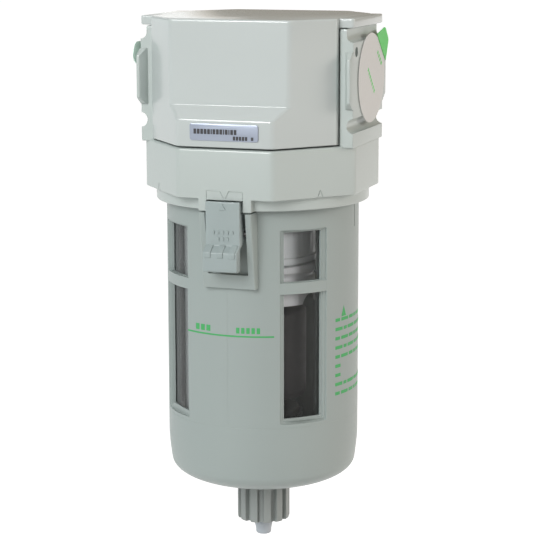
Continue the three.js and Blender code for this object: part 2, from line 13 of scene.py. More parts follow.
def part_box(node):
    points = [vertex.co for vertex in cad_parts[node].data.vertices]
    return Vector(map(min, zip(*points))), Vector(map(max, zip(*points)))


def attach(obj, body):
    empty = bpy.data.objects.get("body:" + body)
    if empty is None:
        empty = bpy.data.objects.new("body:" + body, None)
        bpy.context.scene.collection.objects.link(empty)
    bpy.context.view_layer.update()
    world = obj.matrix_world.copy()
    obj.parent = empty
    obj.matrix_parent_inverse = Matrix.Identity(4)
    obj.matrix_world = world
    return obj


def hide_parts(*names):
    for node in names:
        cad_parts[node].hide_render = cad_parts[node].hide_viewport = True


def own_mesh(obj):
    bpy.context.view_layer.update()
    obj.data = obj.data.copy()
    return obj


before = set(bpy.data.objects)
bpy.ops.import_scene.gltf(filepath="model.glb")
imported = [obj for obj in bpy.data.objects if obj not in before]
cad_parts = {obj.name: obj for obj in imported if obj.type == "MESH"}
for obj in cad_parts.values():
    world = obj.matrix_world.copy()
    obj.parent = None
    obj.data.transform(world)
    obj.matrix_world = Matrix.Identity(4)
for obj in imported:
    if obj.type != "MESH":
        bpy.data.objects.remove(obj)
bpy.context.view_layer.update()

MM = 0.001


def corners(node):
    """A CAD node's lowest and highest corners, in millimetres."""
    low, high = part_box(node)
    return low / MM, high / MM


def heights(node):
    low, high = corners(node)
    return low.z, high.z


# ---- dimensions

casting_low, casting_high = corners("body_casting")
cover_low, cover_high = corners("top_cover")
guard_low, guard_high = corners("bowl_guard")

FACE_X = casting_high.x
FRONT_Y = casting_high.y
RING_BOTTOM = casting_low.z
COVER_TOP = cover_high.z
COVER_BOTTOM = cover_low.z
GUARD_RADIUS = guard_high.x
GUARD_TOP = guard_high.z
DOME_BOTTOM = guard_low.z
BOWL_TOP = corners("bowl")[1].z

SIDE_X = 39.9
SIDE_HALF_LENGTH = 15.5
FRONT_HALF_WIDTH = 17.6
SKIRT_TOP = -23.3
SKIRT_BOTTOM = -40.8
RING_RADIUS = 39
COVER_HALF_LENGTH = 34.6
CORNER_RUN = SIDE_X - FRONT_HALF_WIDTH
CORNER_RISE = FRONT_Y - SIDE_HALF_LENGTH
CORNER_SLANT = math.hypot(CORNER_RUN, CORNER_RISE)
CORNER_REACH = (FRONT_HALF_WIDTH * CORNER_RISE + FRONT_Y * CORNER_RUN) / CORNER_SLANT
UPPER_FRONT_Y = 36.2
SHELF_TOP = -8.6
SHELF_BOTTOM = -13.2
FLANGE_INNER_X = 35
FLANGE_HALF_DEPTH = 19.1
FLANGE_TOP = 17.6
FLANGE_BOTTOM = -24
NOTCH_HALF_WIDTH = 6.75
EAR_OUTER_X = 9.85

WINDOW_INNER_ANGLE = 32.3
WINDOW_OUTER_ANGLE = 57
PATTERN_TURN = -1
WINDOW_TOP = -53.3
CROSSBAR_TOP = -71.2
CROSSBAR_BOTTOM = -75.6
WINDOW_BOTTOM = -121
TAPER_START = -135
DOME_EDGE = -143
GUARD_WALL = 2
BOWL_GAP = 0.6
BOWL_WALL = 3.4
O_RING_Z = -30

LEVER_PIN = (0, -37.9, -53)
PIN_HOLE = 1.2
FRAME_BOTTOM = -72.9
LEVEL_LINE_Z = -90.5

# ---- mesh helpers


def add_object(name, data):
    made = bpy.data.objects.new(name, data)
    bpy.context.scene.collection.objects.link(made)
    return made


def raw(points, faces):
    """A new object from points in millimetres, its faces turned outwards."""
    mesh = bpy.data.meshes.new("solid")
    mesh.from_pydata([Vector(p) * MM for p in points], [], faces)
    work = bmesh.new()
    work.from_mesh(mesh)
    bmesh.ops.remove_doubles(work, verts=work.verts, dist=1e-7)
    bmesh.ops.recalc_face_normals(work, faces=work.faces)
    work.to_mesh(mesh)
    work.free()
    return add_object("solid", mesh)


def rounded(points, steps=5):
    """A closed outline of (x, y) or (x, y, radius) corners, with the radii as arcs."""
    out = []
    for i, point in enumerate(points):
        here = Vector(point[:2])
        to_last = Vector(points[i - 1][:2]) - here
        to_next = Vector(points[(i + 1) % len(points)][:2]) - here
        radius = point[2] if len(point) > 2 else 0
        angle = to_last.angle(to_next)
        if radius <= 0 or angle > math.pi - 0.01:
            out.append(tuple(here))
            continue
        reach = min(radius / math.tan(angle / 2), 0.49 * to_last.length, 0.49 * to_next.length)
        radius = reach * math.tan(angle / 2)
        to_last.normalize()
        to_next.normalize()
        centre = here + (to_last + to_next).normalized() * (radius / math.sin(angle / 2))
        start = here + to_last * reach - centre
        end = here + to_next * reach - centre
        sweep = math.pi - angle
        for k in range(steps + 1):
            t = k / steps
            spoke = start * math.sin((1 - t) * sweep) + end * math.sin(t * sweep)
            out.append(tuple(centre + spoke / math.sin(sweep)))
    return out


def lathe(profile, segments):
    """A closed (radius, z) profile turned about the Z axis."""
    points, rings = [], []
    for radius, z in profile:
        if radius < 1e-6:
            rings.append([len(points)] * segments)
            points.append((0, 0, z))
            continue
        rings.append([len(points) + k for k in range(segments)])
        for k in range(segments):
            angle = 2 * math.pi * k / segments
            points.append((radius * math.sin(angle), -radius * math.cos(angle), z))
    return raw(points, loops(rings, closed=True))


def turned(profile, segments, steps=5):
    return lathe(rounded(profile, steps), segments)


def loops(rings, closed=False):
    """Faces between neighbouring rings of points, each ring a closed loop."""
    faces = []
    pairs = list(zip(rings, rings[1:]))
    if closed:
        pairs.append((rings[-1], rings[0]))
    for low, high in pairs:
        for k in range(len(low)):
            n = (k + 1) % len(low)
            face = list(dict.fromkeys((low[k], low[n], high[n], high[k])))
            if len(face) > 2:
                faces.append(face)
    return faces


def loft(sections):
    """A solid through rings of points that all have the same number of points."""
    count = len(sections[0])
    points = [point for section in sections for point in section]
    rings = [list(range(i * count, (i + 1) * count)) for i in range(len(sections))]
    return raw(points, loops(rings) + [rings[0][::-1], rings[-1]])


def prism(outline, low, high, axis="z"):
    """A flat outline pushed along an axis: (x, y) along z, (y, z) along x, or (x, z) along y."""
    place = {
        "z": lambda a, b, c: (a, b, c),
        "x": lambda a, b, c: (c, a, b),
        "y": lambda a, b, c: (a, c, b),
    }[axis]
    return loft([[place(a, b, c) for a, b in outline] for c in (low, high)])


def rectangle(x0, x1, y0, y1, radius=0, steps=5):
    return rounded([(x0, y0, radius), (x1, y0, radius), (x1, y1, radius), (x0, y1, radius)], steps)


def block(x0, x1, y0, y1, z0, z1, radius=0):
    return prism(rectangle(x0, x1, y0, y1, radius), z0, z1)


def circle(radius, centre=(0, 0), segments=48):
    return [
        (centre[0] + radius * math.cos(a), centre[1] + radius * math.sin(a))
        for a in (2 * math.pi * k / segments for k in range(segments))
    ]


def polar(angle, radius, z):
    """A point at an angle from the front, positive towards the outlet, in degrees."""
    angle = math.radians(angle)
    return (radius * math.sin(angle), -radius * math.cos(angle), z)


def sector(inner, outer, from_angle, to_angle, z0, z1):
    """A block bent round the bowl's axis."""
    step = 1.5
    count = max(2, math.ceil((to_angle - from_angle) / step))
    angles = [from_angle + (to_angle - from_angle) * k / count for k in range(count + 1)]
    section = [(inner, z0), (outer, z0), (outer, z1), (inner, z1)]
    return loft([[polar(angle, radius, z) for radius, z in section] for angle in angles])


def framed_sector(inner, outer, from_angle, to_angle, z0, z1, radius, base):
    """A sector whose outline on the wall has rounded corners; base is the wall's radius."""
    step = 0.9
    flat = rectangle(math.radians(from_angle) * base, math.radians(to_angle) * base, z0, z1, radius, 4)
    outline = []
    for (u, z), (next_u, next_z) in zip(flat, flat[1:] + flat[:1]):
        steps = max(1, math.ceil(abs(next_u - u) / step))
        outline += [(u + (next_u - u) * k / steps, z + (next_z - z) * k / steps) for k in range(steps)]
    return loft([[polar(math.degrees(u / base), r, z) for u, z in outline] for r in (inner, outer)])


def bake(made):
    """Applies the object's modifiers to its mesh."""
    graph = bpy.context.evaluated_depsgraph_get()
    mesh = bpy.data.meshes.new_from_object(made.evaluated_get(graph))
    made.modifiers.clear()
    made.data = mesh
    return made


def combine(made, others, operation):
    for other in others:
        change = made.modifiers.new("combine", "BOOLEAN")
        change.operation = operation
        change.solver = "MANIFOLD"
        change.object = other
        bake(made)
        bpy.data.objects.remove(other)
    return made


def cut(made, *others):
    return combine(made, others, "DIFFERENCE")


def join(made, *others):
    return combine(made, others, "UNION")


def soften(made, width, angle=40, segments=2):
    """Rounds the edges sharper than an angle."""
    change = made.modifiers.new("soften", "BEVEL")
    change.width = width * MM
    change.segments = segments
    change.limit_method = "ANGLE"
    change.angle_limit = math.radians(angle)
    change.use_clamp_overlap = True
    change.miter_outer = "MITER_ARC"
    return bake(made)


def move(made, matrix):
    made.data.transform(matrix)
    made.data.update()
    return made


def shift(x=0, y=0, z=0):
    return Matrix.Translation(Vector((x, y, z)) * MM)


def turn(angle, axis="Z"):
    return Matrix.Rotation(math.radians(angle), 4, axis)


def merged(solids):
    """One object from several separate solids."""
    work = bmesh.new()
    for solid in solids:
        work.from_mesh(solid.data)
        bpy.data.objects.remove(solid)
    mesh = bpy.data.meshes.new("solid")
    work.to_mesh(mesh)
    work.free()
    return add_object("solid", mesh)


def piece(made, name, body, slot, replaces=(), sharp=32, look=None):
    """Finishes an object: name, shading, material, the body it rides on and the node it stands for."""
    made.name = name
    made.data.name = name
    made.data.materials.clear()
    made.data.materials.append(LOOKS[look or slot])
    made.data.polygons.foreach_set("use_smooth", [True] * len(made.data.polygons))
    made.data.set_sharp_from_angle(angle=math.radians(sharp))
    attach(made, body)
    if replaces:
        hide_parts(*replaces)


# ---- materials

LOOKS = {}


def add_node(tree, kind, inputs=(), **settings):
    """A shader node; each of its inputs takes a value, or the output that feeds it."""
    node = tree.nodes.new("ShaderNode" + kind)
    for name, value in settings.items():
        setattr(node, name, value)
    for socket, value in dict(inputs).items():
        if isinstance(value, bpy.types.NodeSocket):
            tree.links.new(value, node.inputs[socket])
        else:
            node.inputs[socket].default_value = value
    return node


class Look:
    """A procedural Principled material: tinted noise, roughness noise and grain in the normal."""

    def __init__(self, name, color, roughness, **sockets):
        LOOKS[name] = bpy.data.materials.new(name)
        LOOKS[name].use_nodes = True
        self.tree = LOOKS[name].node_tree
        self.shader = self.tree.nodes["Principled BSDF"]
        self.coords = add_node(self.tree, "TexCoord")
        self.color = color
        self.roughness = roughness
        self.shader.inputs["Base Color"].default_value = (*color, 1)
        self.shader.inputs["Roughness"].default_value = roughness
        for socket, value in sockets.items():
            self.shader.inputs[socket.replace("_", " ")].default_value = value

    def feed(self, socket, output):
        self.tree.links.new(output, self.shader.inputs[socket])
        return self

    def noise(self, scale, detail, stretch):
        mapping = add_node(self.tree, "Mapping", {"Scale": stretch, "Vector": self.coords.outputs["Object"]})
        inputs = {"Scale": scale, "Detail": detail, "Vector": mapping.outputs["Vector"]}
        return add_node(self.tree, "TexNoise", inputs).outputs["Fac"]

    def tint(self, scale, amount, detail=3, stretch=(1, 1, 1)):
        """Mixes a darker and a lighter shade of the colour."""
        dark = [c * (1 - amount) for c in self.color]
        light = [min(1, c * (1 + amount)) for c in self.color]
        inputs = {"A": (*dark, 1), "B": (*light, 1), "Factor": self.noise(scale, detail, stretch)}
        mix = add_node(self.tree, "Mix", inputs, data_type="RGBA")
        return self.feed("Base Color", mix.outputs["Result"])

    def gloss(self, scale, amount, detail=2, stretch=(1, 1, 1)):
        """Varies the roughness about its value."""
        ranged = add_node(self.tree, "MapRange", {
            "From Min": 0.3, "From Max": 0.7, "Value": self.noise(scale, detail, stretch),
            "To Min": max(0.02, self.roughness - amount), "To Max": min(1, self.roughness + amount)})
        return self.feed("Roughness", ranged.outputs["Result"])

    def grain(self, scale, height, detail=2, stretch=(1, 1, 1)):
        """Grain in the normal; height is in millimetres."""
        inputs = {"Strength": 1, "Distance": height * MM, "Height": self.noise(scale, detail, stretch)}
        return self.feed("Normal", add_node(self.tree, "Bump", inputs).outputs["Normal"])

    def clear(self, edge):
        """Clear plastic: seen through from the front, and whiter towards its edges."""
        fresnel = add_node(self.tree, "Fresnel", {"IOR": 1.45})
        opacity = add_node(self.tree, "Math", {0: fresnel.outputs["Fac"], 1: edge}, operation="MULTIPLY")
        return self.feed("Alpha", opacity.outputs["Value"])


def moulded(name, color, roughness, tint=0.012, height=0.012, spread=0.04, **sockets):
    Look(name, color, roughness, **sockets).tint(60, tint, 4).gloss(900, spread).grain(1400, height)


def metal(name, color, roughness, stretch=(1, 1, 1)):
    look = Look(name, color, roughness, Metallic=1.0)
    look.tint(300, 0.05, 2, stretch).gloss(600, 0.08, 2, stretch).grain(900, 0.006, 2, stretch)


def paper(name, color, roughness, tint):
    Look(name, color, roughness).tint(900, tint, 4).gloss(500, 0.08).grain(1800, 0.01)


def ink(name, color, roughness, tint):
    Look(name, color, roughness).tint(2500, tint, 5).gloss(900, 0.1)


moulded("head_paint", (0.485, 0.54, 0.52), 0.34, Coat_Weight=0.15)
moulded("hood_plastic", (0.54, 0.585, 0.575), 0.2, height=0.003, spread=0.02, Coat_Weight=0.2)
moulded("guard_plastic", (0.34, 0.392, 0.378), 0.42, height=0.008)
moulded("lever_plastic", (0.33, 0.39, 0.388), 0.4)
moulded("knob_plastic", (0.29, 0.315, 0.305), 0.45, height=0.014)
moulded("nozzle_plastic", (0.42, 0.46, 0.50), 0.35)
moulded("white_nylon", (0.82, 0.83, 0.84), 0.35)
moulded("grey_nylon", (0.27, 0.29, 0.285), 0.45)
Look("float_foam", (0.17, 0.16, 0.162), 0.7).tint(500, 0.25, 5).gloss(300, 0.1).grain(2600, 0.05)
fibre = Look("element_fibre", (0.80, 0.83, 0.84), 0.4, Specular_IOR_Level=0.8)
fibre.tint(700, 0.05, 5, (1, 1, 0.35)).gloss(400, 0.1).grain(1600, 0.03, 4, (1, 1, 0.3))
Look("seal_rubber", (0.018, 0.018, 0.019), 0.55).tint(300, 0.25).gloss(500, 0.1).grain(2500, 0.02)
metal("steel", (0.62, 0.63, 0.65), 0.3, (1, 1, 6))
# Near-black steel for the lever pin: painted shade, so the pin reads as the shaded gap beside the lever
metal("painted_shade_steel", (0.1, 0.1, 0.1), 0.4, (1, 1, 6))
metal("brass", (0.66, 0.46, 0.2), 0.28, (1, 1, 6))
metal("copper_wire", (0.55, 0.28, 0.13), 0.35)
foil = Look("plate_foil", (0.31, 0.345, 0.42), 0.38, Metallic=0.55)
foil.tint(500, 0.08, 3, (0.2, 1, 1)).gloss(700, 0.08, 2, (0.1, 1, 1)).grain(1500, 0.01, 2, (0.1, 1, 1))
paper("sticker_paper", (0.665, 0.675, 0.665), 0.65, 0.03)
paper("sticker_green", (0.13, 0.62, 0.15), 0.5, 0.06)
paper("sticker_pale", (0.66, 0.83, 0.74), 0.6, 0.04)
ink("green_print", (0.05, 0.40, 0.11), 0.5, 0.2)
ink("black_print", (0.02, 0.02, 0.025), 0.45, 0.3)
Look("clear_bowl", (0.70, 0.73, 0.73), 0.06).tint(80, 0.03).gloss(120, 0.03).grain(90, 0.01).clear(1.1)

# ---- outlines that the head's pieces share


def octagon(inset, half_length, half_depth, radius, steps=6):
    """The head's outline seen from above, with its ends cut at half_length and its corners rounded."""
    reach = (CORNER_REACH - inset) * CORNER_SLANT
    side_y = (reach - half_length * CORNER_RISE) / CORNER_RUN
    front_x = (reach - half_depth * CORNER_RUN) / CORNER_RISE
    end_radius = radius if half_length > COVER_HALF_LENGTH + 2 else 0.25
    return rounded([
        (half_length, -side_y, end_radius), (half_length, side_y, end_radius),
        (front_x, half_depth, radius), (-front_x, half_depth, radius),
        (-half_length, side_y, end_radius), (-half_length, -side_y, end_radius),
        (-front_x, -half_depth, radius), (front_x, -half_depth, radius),
    ], steps)


def octagon_loft(profile, half_length, radius):
    """Stacks outlines by a profile of (half depth, z, inset) rows."""
    sections = []
    for half_depth, z, inset in profile:
        length = half_length - (inset if half_length > COVER_HALF_LENGTH + 2 else 0)
        outline = octagon(inset, length, half_depth, radius)
        sections.append([(x, y, z) for x, y in outline])
    return loft(sections)


def edge_arc(depth, z, radius, upwards, steps=5):
    """Rows of an octagon profile that round its top or bottom edge."""
    rows = []
    for k in range(steps + 1):
        angle = math.pi / 2 * k / steps
        inset = radius * (1 - math.cos(angle))
        height = radius * math.sin(angle)
        rows.append((depth - inset, z - radius + height if upwards else z + radius - height, inset))
    return rows if upwards else rows[::-1]


# ---- the head


def make_top_cover():
    shelf = rounded([
        (0, COVER_BOTTOM - 9), (FRONT_Y, COVER_BOTTOM - 9), (FRONT_Y, SHELF_BOTTOM, 1.3),
        (UPPER_FRONT_Y, SHELF_TOP, 0.5), (UPPER_FRONT_Y - 0.5, COVER_TOP + 9), (0, COVER_TOP + 9)])
    slope = [(depth, z, 0) for depth, z in shelf[2:-2]]
    foot = edge_arc(FRONT_Y, COVER_BOTTOM, 0.5, False)
    crown = edge_arc(UPPER_FRONT_Y - 0.4, COVER_TOP, 0.8, True)
    hood = octagon_loft(foot + slope + crown, COVER_HALF_LENGTH, 3.2)
    plate = block(-FACE_X, FACE_X, -18.6, 18.6, FLANGE_TOP + 0.3, COVER_TOP, 1.0)
    soften(plate, 0.5, 50, 3)
    wall = 2
    lower, upper = FRONT_Y - wall, UPPER_FRONT_Y - wall
    inner = [(lower, COVER_BOTTOM - 1, wall), (lower, SHELF_BOTTOM - wall, wall),
             (upper, SHELF_TOP - wall, wall), (upper, FLANGE_TOP, wall)]
    cut(hood, octagon_loft(inner, COVER_HALF_LENGTH + 1, 2))
    join(hood, plate)
    piece(hood, "hood", "head", "hood_plastic", ["top_cover"])


def make_body_casting():
    skirt_rows = edge_arc(FRONT_Y, SKIRT_BOTTOM, 0.5, False) + edge_arc(FRONT_Y, SKIRT_TOP, 0.9, True)
    casting = octagon_loft(skirt_rows, SIDE_X, 3.2)
    ring = turned([
        (30, SKIRT_BOTTOM + 2), (30, RING_BOTTOM, 0.2), (RING_RADIUS, RING_BOTTOM, 0.6),
        (RING_RADIUS, SKIRT_BOTTOM + 2)], 192)
    ears = block(-EAR_OUTER_X, EAR_OUTER_X, -FRONT_Y, -RING_RADIUS + 1.6, RING_BOTTOM, SKIRT_BOTTOM + 1)
    soften(ears, 0.35, 50)
    core = block(-FLANGE_INNER_X - 1, FLANGE_INNER_X + 1, -15.5, 15.5, SKIRT_TOP - 1, FLANGE_TOP - 0.5, 1)
    chamber = turned([(0, SKIRT_TOP - 1), (31, SKIRT_TOP - 1), (31, -6, 2), (0, -6)], 128)
    join(casting, ring, ears, core, chamber, make_flange(1), make_flange(-1))
    cut(casting, *head_bores(), *face_cuts(1), *face_cuts(-1), *lock_marks())
    piece(casting, "casting", "head", "head_paint", ["body_casting"])


def make_flange(side):
    """A port flange with its bevelled coupling lugs."""
    ends = sorted((side * FLANGE_INNER_X, side * FACE_X))
    depth = FLANGE_HALF_DEPTH
    plate = prism(rectangle(-depth, depth, FLANGE_BOTTOM, FLANGE_TOP, 0.6), *ends, "x")
    soften(plate, 0.4, 50, 3)
    lug_y, lug_top, lug_bottom, bevel = 23.3, 9.7, -10.5, 2.5
    seen_from_above = [(37.1, depth - 2), (37.1, depth), (38.8, lug_y), (FACE_X, lug_y), (FACE_X, depth - 2)]
    seen_from_end = [(depth - 3, lug_top + bevel), (lug_y, lug_top - bevel),
                     (lug_y, lug_bottom + bevel), (depth - 3, lug_bottom - bevel)]
    for facing in (-1, 1):
        wedge = prism([(side * x, facing * y) for x, y in seen_from_above], lug_bottom, lug_top)
        tips = prism([(facing * y, z) for y, z in seen_from_end], -50, 50, "x")
        combine(wedge, [tips], "INTERSECT")
        soften(wedge, 0.35, 25)
        join(plate, wedge)
    return plate


def head_bores():
    """The bores, ports and passages inside the head, and the notch for the lever."""
    bayonet, seal = 37.6, 33.6
    bowl_bore = lathe([
        (0, RING_BOTTOM - 2), (bayonet + 0.5, RING_BOTTOM - 2), (bayonet + 0.5, RING_BOTTOM + 0.1),
        (bayonet, RING_BOTTOM + 0.7), (bayonet, GUARD_TOP + 0.3), (seal + 0.6, GUARD_TOP + 0.3),
        (seal, GUARD_TOP + 1.2), (seal, -26), (0, -26)], 192)
    swirl = turned([(12, -28), (28, -28), (28, -11, 2), (12, -11, 2)], 96)
    rise = prism(circle(7.5), -28, 0)
    drop = prism(circle(6, (-21, 0)), -18, 0)
    outlet = prism(circle(7.5), 0, 24, "x")
    inlet = prism(circle(7.5), -24, -15, "x")
    half = NOTCH_HALF_WIDTH
    notch = block(-half, half, -FRONT_Y - 1, -RING_RADIUS + 4, RING_BOTTOM - 1, SKIRT_BOTTOM - 0.2)
    return [bowl_bore, swirl, rise, drop, outlet, inlet, notch, thread(1), thread(-1)]


def thread(side):
    """The threaded port as a stack of ridges, turned about the air line."""
    major, minor, pitch, depth = 10.4, 9.4, 1.81, 16
    rows = [(0, FACE_X + 1), (major + 1.2, FACE_X + 1), (major + 0.3, FACE_X - 0.2), (minor, FACE_X - 1.1)]
    x = FACE_X - 1.4
    while x - pitch > FACE_X - depth:
        rows += [(minor, x), (major, x - 0.45 * pitch), (major, x - 0.55 * pitch), (minor, x - 0.95 * pitch)]
        x -= pitch
    rows += [(minor, FACE_X - depth - 2), (0, FACE_X - depth - 2)]
    return move(lathe(rows, 64), turn(side * 90, "Y"))


def face_cuts(side):
    """The joiner's grooves and the locating holes in a port face."""
    corner = 2.4
    near = side * (FACE_X - 2.5)
    far = side * (FACE_X + 4)
    top = prism(rounded([
        (near, 12.9, corner), (far, 12.9), (far, FLANGE_TOP + 2), (near, FLANGE_TOP + 2)]), -30, 30, "y")
    bottom = prism(circle(2.65, (side * (FACE_X + 0.2), -16.2)), -30, 30, "y")
    ends = sorted((side * (FACE_X - 4), side * (FACE_X + 1)))
    holes = [prism(circle(1.8, (y, 9.5), 24), *ends, "x") for y in (-15.4, 15.4)]
    return [top, bottom, *holes]


def lock_marks():
    """Shallow engraved lines: the pad and V over the lever, and a triangle at each unlocked place."""
    depth, line = 0.25, 0.28

    def groove(start, end, face):
        a, b = Vector(start), Vector(end)
        along = (b - a).normalized() * line / 2
        side = Vector((-along.y, along.x))
        outline = [tuple(p) for p in (a - along + side, a - along - side, b + along - side, b + along + side)]
        return prism(outline, -face - 1, -face + depth, "y")

    half_pad = [(6.7, -41.2), (6.7, -37.9), (1.6, -37.9), (0.45, -40.3)]
    grooves = []
    for side in (-1, 1):
        pad = [(side * x, z) for x, z in half_pad]
        grooves += [groove(a, b, FRONT_Y) for a, b in zip(pad, pad[1:])]
    facing = math.degrees(math.atan2(CORNER_RISE, CORNER_RUN))
    triangle = [(-1.2, -40.6), (1.2, -40.6), (0, -38.1)]
    for side in (-1, 1):
        for a, b in zip(triangle, triangle[1:] + triangle[:1]):
            grooves.append(move(groove(a, b, CORNER_REACH), turn(side * facing)))
    return grooves


def mark_row(plane, x, z, height, widths, gap):
    """A row of small printed bars on a front face, in place of lettering."""
    bars = []
    for width in widths:
        bars.append(prism(rectangle(x, x + width, z, z + height, 0.12), plane - 0.06, plane, "y"))
        x += width + gap
    return merged(bars)


def make_name_plate():
    front, back = -FRONT_Y - 0.45, -FRONT_Y - 0.02
    plate = prism(rectangle(-12.6, 12.6, -20.3, -14.4, 0.9), front, back, "y")
    soften(plate, 0.12, 50)
    piece(plate, "foil_plate", "head", "plate_foil", ["name_plate"])
    wide, narrow = 0.95, 0.4
    widths = [wide] * 5 + [narrow] + [wide] * 3 + [narrow, wide, narrow] + [wide] * 2
    upper = mark_row(front, -11.1, -18.0, 1.75, widths, 0.32)
    lower = mark_row(front, 3.4, -19.9, 1.35, [0.85] * 5, 0.25)
    stamp = mark_row(front, 10.0, -19.8, 1.15, [0.85], 0)
    piece(merged([upper, lower, stamp]), "plate_marks", "head", "plate_foil", look="black_print")


# ---- port stickers

STICKER_CENTRE = (2.2, -0.8)
STICKER_RADIUS = 16


def sticker_sheet(boundary, centre, lift, thickness, rings=10):
    """A thin sheet over a port, from a boundary seen along X, lifted off the face by lift(y, z)."""
    count = len(boundary)
    points, index = [], []
    for layer in (0, thickness):
        layer_rings = []
        for ring in range(rings + 1):
            t = ring / rings
            row = []
            for y, z in boundary:
                place = (centre[0] + (y - centre[0]) * t, centre[1] + (z - centre[1]) * t)
                row.append(len(points))
                points.append((FACE_X + 0.1 + layer + lift(*place), *place))
                if ring == 0:
                    break
            layer_rings.append(row * count if ring == 0 else row)
        index.append(layer_rings)
    faces = loops(index[0]) + loops(index[1])
    faces += loops([index[0][-1], index[1][-1]])
    return raw(points, faces)


def disc_boundary():
    centre = Vector(STICKER_CENTRE)
    return [tuple(centre + Vector((math.cos(a), math.sin(a))) * STICKER_RADIUS)
            for a in (2 * math.pi * k / 96 for k in range(96))]


def along_tab(angle, along, across):
    """A point of the port face by its distances along and across a tab's direction."""
    run = Vector((math.cos(math.radians(angle)), math.sin(math.radians(angle))))
    return Vector(STICKER_CENTRE) + run * along + Vector((-run.y, run.x)) * across


def tab_boundary(angle, outline):
    return [tuple(along_tab(angle, a, b)) for a, b in rounded(outline, 8)]


def to_inlet(made):
    """Turns a piece of the outlet's face round to the inlet's."""
    return move(made, turn(180))


def make_stickers():
    angle, inlet_angle = 44, 28
    disc_thickness, tab_thickness, tab_lift, mark_lift = 0.25, 0.24, 0.27, 0.26

    def curl(y, z):
        return 0.5 * max(0, (y - 2) / 16) ** 2

    def bent(y, z):
        direction = along_tab(inlet_angle, 1, 0) - Vector(STICKER_CENTRE)
        along = (Vector((y, z)) - Vector(STICKER_CENTRE)).dot(direction)
        return 0.3 * max(0, along - 16.8)

    disc = sticker_sheet(disc_boundary(), STICKER_CENTRE, curl, disc_thickness)
    piece(disc, "outlet_seal", "head", "sticker_paper", ["outlet_port_sticker"], 50)
    outline = tab_boundary(angle, [(15.4, 6.2, 0.3), (23.6, 1.4, 1.8), (22.9, -4.6, 1.6), (15.4, -8.0, 0.3)])
    middle = tuple(along_tab(angle, 18.5, -1.5))
    tab = sticker_sheet(outline, middle, lambda y, z: curl(y, z) + tab_lift, tab_thickness, 6)
    piece(tab, "outlet_seal_tab", "head", "sticker_paper", (), 50, "sticker_green")
    disc = to_inlet(sticker_sheet(disc_boundary(), STICKER_CENTRE, bent, disc_thickness))
    piece(disc, "inlet_seal", "head", "sticker_paper", ["inlet_port_sticker"], 50)
    outline = [(14.6, -4.4, 0.3), (21.2, -4.4, 3.2), (21.2, 4.4, 3.2), (14.6, 4.4, 0.3)]
    outline = tab_boundary(inlet_angle, outline)
    middle = tuple(along_tab(inlet_angle, 18.5, 0))
    tab = to_inlet(sticker_sheet(outline, middle, lambda y, z: bent(y, z) + tab_lift, tab_thickness, 6))
    piece(tab, "inlet_seal_tab", "head", "sticker_paper", (), 50, "sticker_pale")
    marks = []
    for along, start, count in ((-0.6, -6.4, 7), (11.8, -5.2, 4)):
        for k in range(count):
            across = start + 1.85 * k
            bar = [tuple(along_tab(angle, along + a, across + b)) for a, b in
                   ((-0.7, -0.55), (0.7, -0.55), (0.7, 0.55), (-0.7, 0.55))]
            middle = tuple(along_tab(angle, along, across))
            marks.append(sticker_sheet(bar, middle, lambda y, z: curl(y, z) + mark_lift, 0.04, 1))
    piece(merged(marks), "outlet_seal_marks", "head", "sticker_paper", look="sticker_green")


# ---- element, louver and baffle


def make_louver():
    low, high = heights("louver")
    hub = lathe(rectangle(9.5, 20, low, high, 0.4), 96)
    rim = lathe(rectangle(25.5, 27.5, low, high, 0.3), 128)
    eye = turned([(2.9, low), (4.6, low, 0.3), (4.6, high, 0.3), (2.9, high)], 48)
    spokes = [move(block(4, 10, -1, 1, low, high), turn(angle)) for angle in (0, 120, 240)]
    vanes = []
    for k in range(12):
        vane = block(19.5, 26, -0.7, 0.7, -6, 6, 0.3)
        move(vane, turn(k * 30) @ shift(z=(low + high) / 2) @ turn(35, "X"))
        keep = lathe([(0, low), (27, low), (27, high), (0, high)], 96)
        vanes.append(combine(vane, [keep], "INTERSECT"))
    join(hub, rim, eye, *spokes, *vanes)
    piece(hub, "swirl_louver", "head", "white_nylon", ["louver"])


def make_element():
    low, high = corners("filter_element")
    radius, bore, pleats = high.x, 13, 48
    low, high = low.z, high.z
    band, flange, edge = 2.8, 2.4, 0.6
    rows = [(bore, low), (radius - edge, low), (radius, low + edge), (radius, low + flange)]
    rows += [(radius - 0.7, low + band + (high - low - 2 * band) * k / 8) for k in range(8)]
    rows += [(radius - 0.7, high - band), (radius, high - flange), (radius, high - edge)]
    made = lathe(rows + [(radius - edge, high), (bore, high)], 8 * pleats)
    for vertex in made.data.vertices:
        x, y, z = (c / MM for c in vertex.co)
        if math.hypot(x, y) > bore + 3 and low + 2.7 < z < high - 2.7:
            ripple = 0.05 * math.cos(pleats * math.atan2(y, x))
            scale = 1 + ripple / math.hypot(x, y)
            vertex.co.x *= scale
            vertex.co.y *= scale
    piece(made, "element_media", "head", "element_fibre", ["filter_element"])
    low, high = corners("element_gasket")
    gasket = lathe(rectangle(bore, 18, low.z, high.z, 0.15, 3), 96)
    piece(gasket, "element_seal", "head", "seal_rubber", ["element_gasket"])


